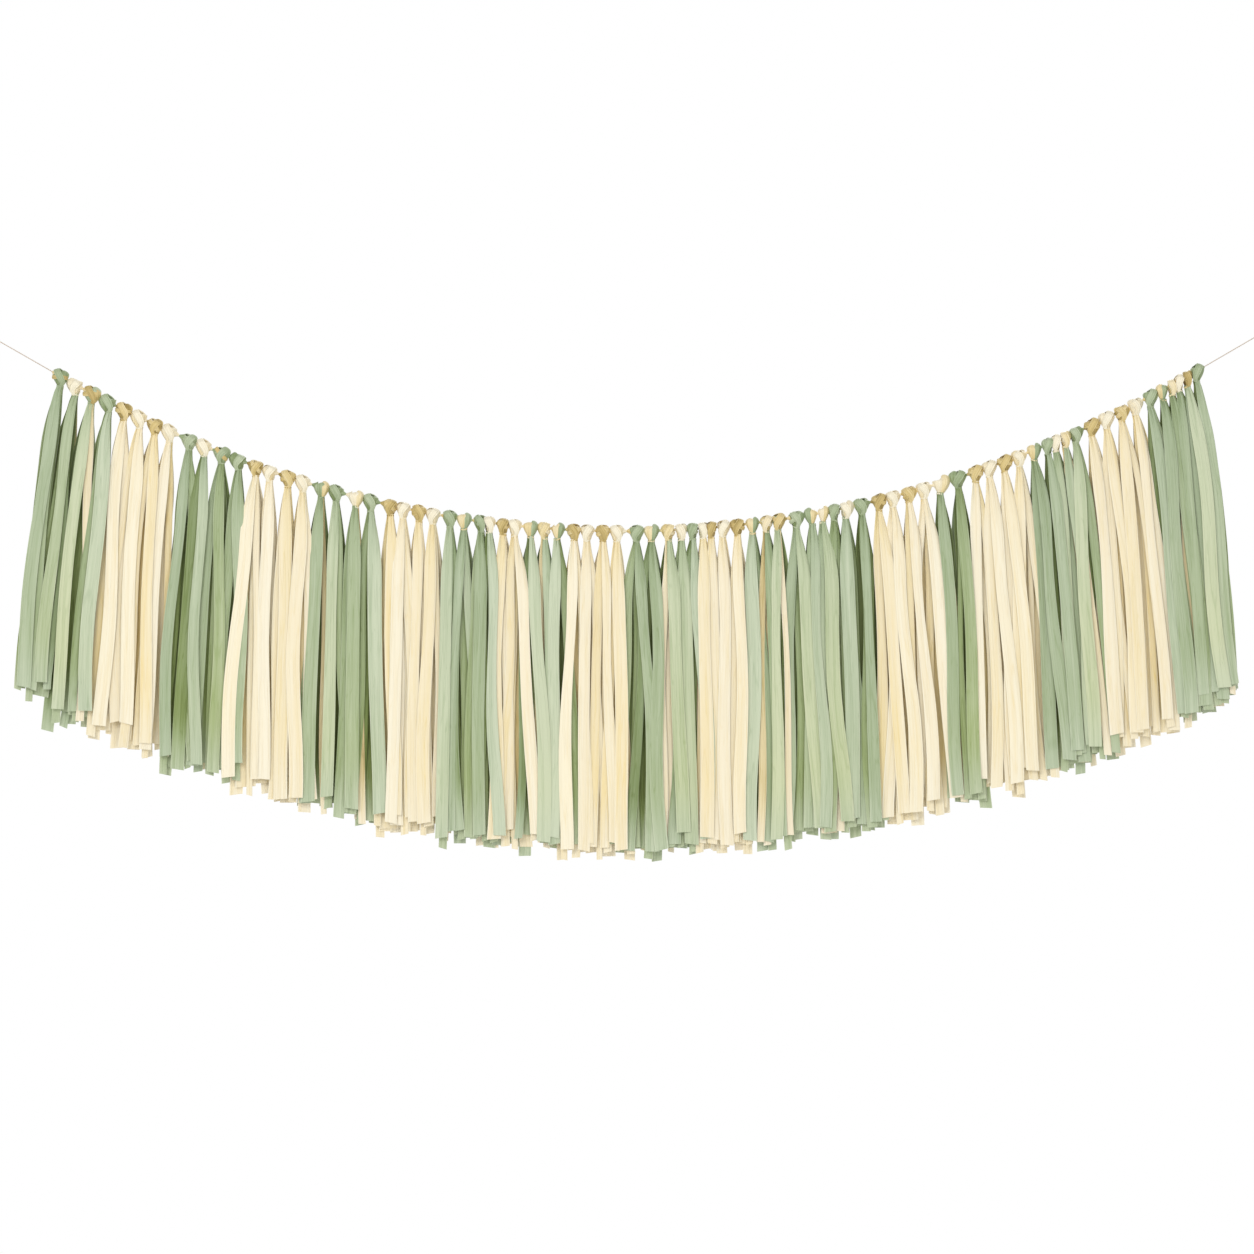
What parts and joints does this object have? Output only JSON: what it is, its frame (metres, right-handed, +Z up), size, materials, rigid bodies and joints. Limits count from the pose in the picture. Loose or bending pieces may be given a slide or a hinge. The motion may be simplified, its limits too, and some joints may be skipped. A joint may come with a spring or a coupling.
{
  "type": "paper fringe garland",
  "caption": "Hanging garland of sage green and cream raffia paper strips knotted side by side along a sagging twine that ends in two tied loops.",
  "frame": {"origin": "centre of the twine where the left hanging loop goes over its nail", "axes": "+X along the garland to the right loop's nail at the same height, +Y away from the viewer, +Z up"},
  "size_m": [1.3203, 0.0162, 0.5438],
  "materials": {
    "sage_paper": "satin matte crinkled raffia paper",
    "cream_paper": "satin matte crinkled raffia paper",
    "twine": "two-ply natural cotton twine"
  },
  "bodies": {
    "hanging_loops": {"left_hanging_loop": "twine", "right_hanging_loop": "twine"},
    "strung_twine": {"string": "twine", "string_left_end": "twine", "string_right_end": "twine"},
    "tassel_01": {"tassel_pair_01": "sage_paper"},
    "tassel_02": {"tassel_pair_02": "sage_paper"},
    "tassel_03": {"tassel_pair_03": "cream_paper"},
    "tassel_04": {"tassel_pair_04": "cream_paper"},
    "tassel_05": {"tassel_pair_05": "sage_paper"},
    "tassel_06": {"tassel_pair_06": "sage_paper"},
    "tassel_07": {"tassel_pair_07": "cream_paper"},
    "tassel_08": {"tassel_pair_08": "cream_paper"},
    "tassel_09": {"tassel_pair_09": "sage_paper"},
    "tassel_10": {"tassel_pair_10": "sage_paper"},
    "tassel_11": {"tassel_pair_11": "cream_paper"},
    "tassel_12": {"tassel_pair_12": "cream_paper"},
    "tassel_13": {"tassel_pair_13": "sage_paper"},
    "tassel_14": {"tassel_pair_14": "sage_paper"},
    "tassel_15": {"tassel_pair_15": "cream_paper"},
    "tassel_16": {"tassel_pair_16": "sage_paper"},
    "tassel_17": {"single_tassel_17": "sage_paper"},
    "tassel_18": {"tassel_pair_18": "cream_paper"},
    "tassel_19": {"tassel_pair_19": "cream_paper"},
    "tassel_20": {"tassel_pair_20": "sage_paper"},
    "tassel_21": {"single_tassel_21": "sage_paper"},
    "tassel_22": {"tassel_pair_22": "sage_paper"},
    "tassel_23": {"tassel_pair_23": "cream_paper"},
    "tassel_24": {"tassel_pair_24": "cream_paper"},
    "tassel_25": {"single_tassel_25": "sage_paper"},
    "tassel_26": {"tassel_pair_26": "sage_paper"},
    "tassel_27": {"tassel_pair_27": "sage_paper"},
    "tassel_28": {"tassel_pair_28": "sage_paper"},
    "tassel_29": {"tassel_pair_29": "sage_paper"},
    "tassel_30": {"tassel_pair_30": "cream_paper"},
    "tassel_31": {"tassel_pair_31": "cream_paper"},
    "tassel_32": {"tassel_pair_32": "sage_paper"},
    "tassel_33": {"tassel_pair_33": "cream_paper"},
    "tassel_34": {"tassel_pair_34": "cream_paper"},
    "tassel_35": {"single_tassel_35": "sage_paper"},
    "tassel_36": {"tassel_pair_36": "sage_paper"},
    "tassel_37": {"tassel_pair_37": "sage_paper"},
    "tassel_38": {"tassel_pair_38": "cream_paper"},
    "tassel_39": {"tassel_pair_39": "cream_paper"},
    "tassel_40": {"tassel_pair_40": "sage_paper"},
    "tassel_41": {"tassel_pair_41": "sage_paper"},
    "tassel_42": {"tassel_pair_42": "sage_paper"}
  },
  "joints": [
    {"name": "garland_swing", "type": "hinge", "parent": "hanging_loops", "child": "strung_twine", "pos_m": [0.01911, 0, -0.0109], "axis": [1, 0, -0.0001], "range_deg": [-30, 30]},
    {"name": "tassel_01_swing", "type": "hinge", "parent": "strung_twine", "child": "tassel_01", "pos_m": [0.10371, 0, -0.05907], "axis": [0.8744, 0, -0.4853], "range_deg": [-40, 40]},
    {"name": "tassel_02_swing", "type": "hinge", "parent": "strung_twine", "child": "tassel_02", "pos_m": [0.13591, 0, -0.07638], "axis": [0.8872, 0, -0.4615], "range_deg": [-40, 40]},
    {"name": "tassel_03_swing", "type": "hinge", "parent": "strung_twine", "child": "tassel_03", "pos_m": [0.16754, 0, -0.0923], "axis": [0.8993, 0, -0.4374], "range_deg": [-40, 40]},
    {"name": "tassel_04_swing", "type": "hinge", "parent": "strung_twine", "child": "tassel_04", "pos_m": [0.19801, 0, -0.10663], "axis": [0.9104, 0, -0.4137], "range_deg": [-40, 40]},
    {"name": "tassel_05_swing", "type": "hinge", "parent": "strung_twine", "child": "tassel_05", "pos_m": [0.23252, 0, -0.12169], "axis": [0.9225, 0, -0.3861], "range_deg": [-40, 40]},
    {"name": "tassel_06_swing", "type": "hinge", "parent": "strung_twine", "child": "tassel_06", "pos_m": [0.26587, 0, -0.13507], "axis": [0.9335, 0, -0.3587], "range_deg": [-40, 40]},
    {"name": "tassel_07_swing", "type": "hinge", "parent": "strung_twine", "child": "tassel_07", "pos_m": [0.29865, 0, -0.14712], "axis": [0.9436, 0, -0.3312], "range_deg": [-40, 40]},
    {"name": "tassel_08_swing", "type": "hinge", "parent": "strung_twine", "child": "tassel_08", "pos_m": [0.33142, 0, -0.15809], "axis": [0.9529, 0, -0.3031], "range_deg": [-40, 40]},
    {"name": "tassel_09_swing", "type": "hinge", "parent": "strung_twine", "child": "tassel_09", "pos_m": [0.36477, 0, -0.16814], "axis": [0.9617, 0, -0.274], "range_deg": [-40, 40]},
    {"name": "tassel_10_swing", "type": "hinge", "parent": "strung_twine", "child": "tassel_10", "pos_m": [0.39928, 0, -0.17738], "axis": [0.9699, 0, -0.2434], "range_deg": [-40, 40]},
    {"name": "tassel_11_swing", "type": "hinge", "parent": "strung_twine", "child": "tassel_11", "pos_m": [0.43263, 0, -0.18521], "axis": [0.977, 0, -0.2132], "range_deg": [-40, 40]},
    {"name": "tassel_12_swing", "type": "hinge", "parent": "strung_twine", "child": "tassel_12", "pos_m": [0.46196, 0, -0.19119], "axis": [0.9825, 0, -0.1864], "range_deg": [-40, 40]},
    {"name": "tassel_13_swing", "type": "hinge", "parent": "strung_twine", "child": "tassel_13", "pos_m": [0.49301, 0, -0.19662], "axis": [0.9875, 0, -0.1577], "range_deg": [-40, 40]},
    {"name": "tassel_14_swing", "type": "hinge", "parent": "strung_twine", "child": "tassel_14", "pos_m": [0.52119, 0, -0.20074], "axis": [0.9913, 0, -0.1315], "range_deg": [-40, 40]},
    {"name": "tassel_15_swing", "type": "hinge", "parent": "strung_twine", "child": "tassel_15", "pos_m": [0.54476, 0, -0.2036], "axis": [0.994, 0, -0.1093], "range_deg": [-40, 40]},
    {"name": "tassel_16_swing", "type": "hinge", "parent": "strung_twine", "child": "tassel_16", "pos_m": [0.57351, 0, -0.20636], "axis": [0.9966, 0, -0.0822], "range_deg": [-40, 40]},
    {"name": "tassel_17_swing", "type": "hinge", "parent": "strung_twine", "child": "tassel_17", "pos_m": [0.59306, 0, -0.20779], "axis": [0.998, 0, -0.0637], "range_deg": [-40, 40]},
    {"name": "tassel_18_swing", "type": "hinge", "parent": "strung_twine", "child": "tassel_18", "pos_m": [0.61664, 0, -0.20903], "axis": [0.9991, 0, -0.0413], "range_deg": [-40, 40]},
    {"name": "tassel_19_swing", "type": "hinge", "parent": "strung_twine", "child": "tassel_19", "pos_m": [0.64597, 0, -0.20983], "axis": [0.9999, 0, -0.0134], "range_deg": [-40, 40]},
    {"name": "tassel_20_swing", "type": "hinge", "parent": "strung_twine", "child": "tassel_20", "pos_m": [0.67989, 0, -0.20974], "axis": [0.9998, 0, 0.0189], "range_deg": [-40, 40]},
    {"name": "tassel_21_swing", "type": "hinge", "parent": "strung_twine", "child": "tassel_21", "pos_m": [0.70462, 0, -0.20898], "axis": [0.9991, 0, 0.0424], "range_deg": [-40, 40]},
    {"name": "tassel_22_swing", "type": "hinge", "parent": "strung_twine", "child": "tassel_22", "pos_m": [0.72302, 0, -0.20804], "axis": [0.9982, 0, 0.0599], "range_deg": [-40, 40]},
    {"name": "tassel_23_swing", "type": "hinge", "parent": "strung_twine", "child": "tassel_23", "pos_m": [0.74314, 0, -0.20664], "axis": [0.9969, 0, 0.079], "range_deg": [-40, 40]},
    {"name": "tassel_24_swing", "type": "hinge", "parent": "strung_twine", "child": "tassel_24", "pos_m": [0.76615, 0, -0.20456], "axis": [0.9949, 0, 0.1007], "range_deg": [-40, 40]},
    {"name": "tassel_25_swing", "type": "hinge", "parent": "strung_twine", "child": "tassel_25", "pos_m": [0.78857, 0, -0.20205], "axis": [0.9926, 0, 0.1218], "range_deg": [-40, 40]},
    {"name": "tassel_26_swing", "type": "hinge", "parent": "strung_twine", "child": "tassel_26", "pos_m": [0.80812, 0, -0.19947], "axis": [0.9901, 0, 0.1401], "range_deg": [-40, 40]},
    {"name": "tassel_27_swing", "type": "hinge", "parent": "strung_twine", "child": "tassel_27", "pos_m": [0.84033, 0, -0.19441], "axis": [0.9854, 0, 0.17], "range_deg": [-40, 40]},
    {"name": "tassel_28_swing", "type": "hinge", "parent": "strung_twine", "child": "tassel_28", "pos_m": [0.86448, 0, -0.18996], "axis": [0.9813, 0, 0.1923], "range_deg": [-40, 40]},
    {"name": "tassel_29_swing", "type": "hinge", "parent": "strung_twine", "child": "tassel_29", "pos_m": [0.88978, 0, -0.18469], "axis": [0.9765, 0, 0.2154], "range_deg": [-40, 40]},
    {"name": "tassel_30_swing", "type": "hinge", "parent": "strung_twine", "child": "tassel_30", "pos_m": [0.92198, 0, -0.17708], "axis": [0.9697, 0, 0.2444], "range_deg": [-40, 40]},
    {"name": "tassel_31_swing", "type": "hinge", "parent": "strung_twine", "child": "tassel_31", "pos_m": [0.95246, 0, -0.16895], "axis": [0.9624, 0, 0.2715], "range_deg": [-40, 40]},
    {"name": "tassel_32_swing", "type": "hinge", "parent": "strung_twine", "child": "tassel_32", "pos_m": [0.98524, 0, -0.15916], "axis": [0.9539, 0, 0.3002], "range_deg": [-40, 40]},
    {"name": "tassel_33_swing", "type": "hinge", "parent": "strung_twine", "child": "tassel_33", "pos_m": [1.01859, 0, -0.14811], "axis": [0.9444, 0, 0.3288], "range_deg": [-40, 40]},
    {"name": "tassel_34_swing", "type": "hinge", "parent": "strung_twine", "child": "tassel_34", "pos_m": [1.04791, 0, -0.13747], "axis": [0.9354, 0, 0.3535], "range_deg": [-40, 40]},
    {"name": "tassel_35_swing", "type": "hinge", "parent": "strung_twine", "child": "tassel_35", "pos_m": [1.07033, 0, -0.12874], "axis": [0.9282, 0, 0.372], "range_deg": [-40, 40]},
    {"name": "tassel_36_swing", "type": "hinge", "parent": "strung_twine", "child": "tassel_36", "pos_m": [1.08816, 0, -0.12143], "axis": [0.9223, 0, 0.3866], "range_deg": [-40, 40]},
    {"name": "tassel_37_swing", "type": "hinge", "parent": "strung_twine", "child": "tassel_37", "pos_m": [1.10656, 0, -0.11354], "axis": [0.9159, 0, 0.4014], "range_deg": [-40, 40]},
    {"name": "tassel_38_swing", "type": "hinge", "parent": "strung_twine", "child": "tassel_38", "pos_m": [1.13532, 0, -0.10051], "axis": [0.9056, 0, 0.4241], "range_deg": [-40, 40]},
    {"name": "tassel_39_swing", "type": "hinge", "parent": "strung_twine", "child": "tassel_39", "pos_m": [1.16464, 0, -0.08632], "axis": [0.8947, 0, 0.4467], "range_deg": [-40, 40]},
    {"name": "tassel_40_swing", "type": "hinge", "parent": "strung_twine", "child": "tassel_40", "pos_m": [1.19282, 0, -0.07183], "axis": [0.8838, 0, 0.4679], "range_deg": [-40, 40]},
    {"name": "tassel_41_swing", "type": "hinge", "parent": "strung_twine", "child": "tassel_41", "pos_m": [1.21179, 0, -0.06159], "axis": [0.8762, 0, 0.4819], "range_deg": [-40, 40]},
    {"name": "tassel_42_swing", "type": "hinge", "parent": "strung_twine", "child": "tassel_42", "pos_m": [1.22789, 0, -0.0526], "axis": [0.8697, 0, 0.4936], "range_deg": [-40, 40]}
  ]
}
